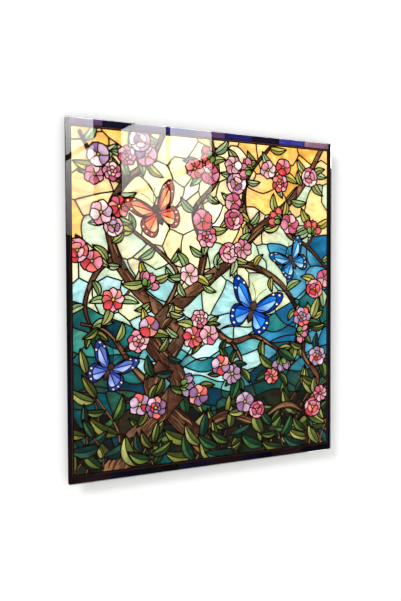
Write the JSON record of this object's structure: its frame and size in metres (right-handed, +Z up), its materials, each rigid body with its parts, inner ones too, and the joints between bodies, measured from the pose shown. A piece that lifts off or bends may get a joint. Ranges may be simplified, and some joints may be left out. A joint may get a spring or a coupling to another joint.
{
  "type": "printed glass wall panel",
  "caption": "Frameless flat glass wall panel with a stained-glass style picture printed behind it, hung clear of the wall on a bonded rail with rubber pads below.",
  "frame": {"origin": "centre of the face of the hanging rail's lip that lies against the wall", "axes": "+X to the right as the picture is viewed, +Y from the picture into the wall, +Z up"},
  "size_m": [0.7, 0.0204, 0.8],
  "materials": {
    "clear_glass": "clear toughened float glass with polished edges",
    "picture_print": "film printed with a many-coloured stained-glass style picture, with a plain grey protective coat on the back",
    "rail_aluminium": "extruded and natural anodised",
    "pad_rubber": "moulded, matt black"
  },
  "bodies": {
    "root": {"glass_panel": "clear_glass", "printed_film": "picture_print", "hanging_rail": "rail_aluminium", "bumper_left": "pad_rubber", "bumper_right": "pad_rubber"}
  },
  "joints": []
}
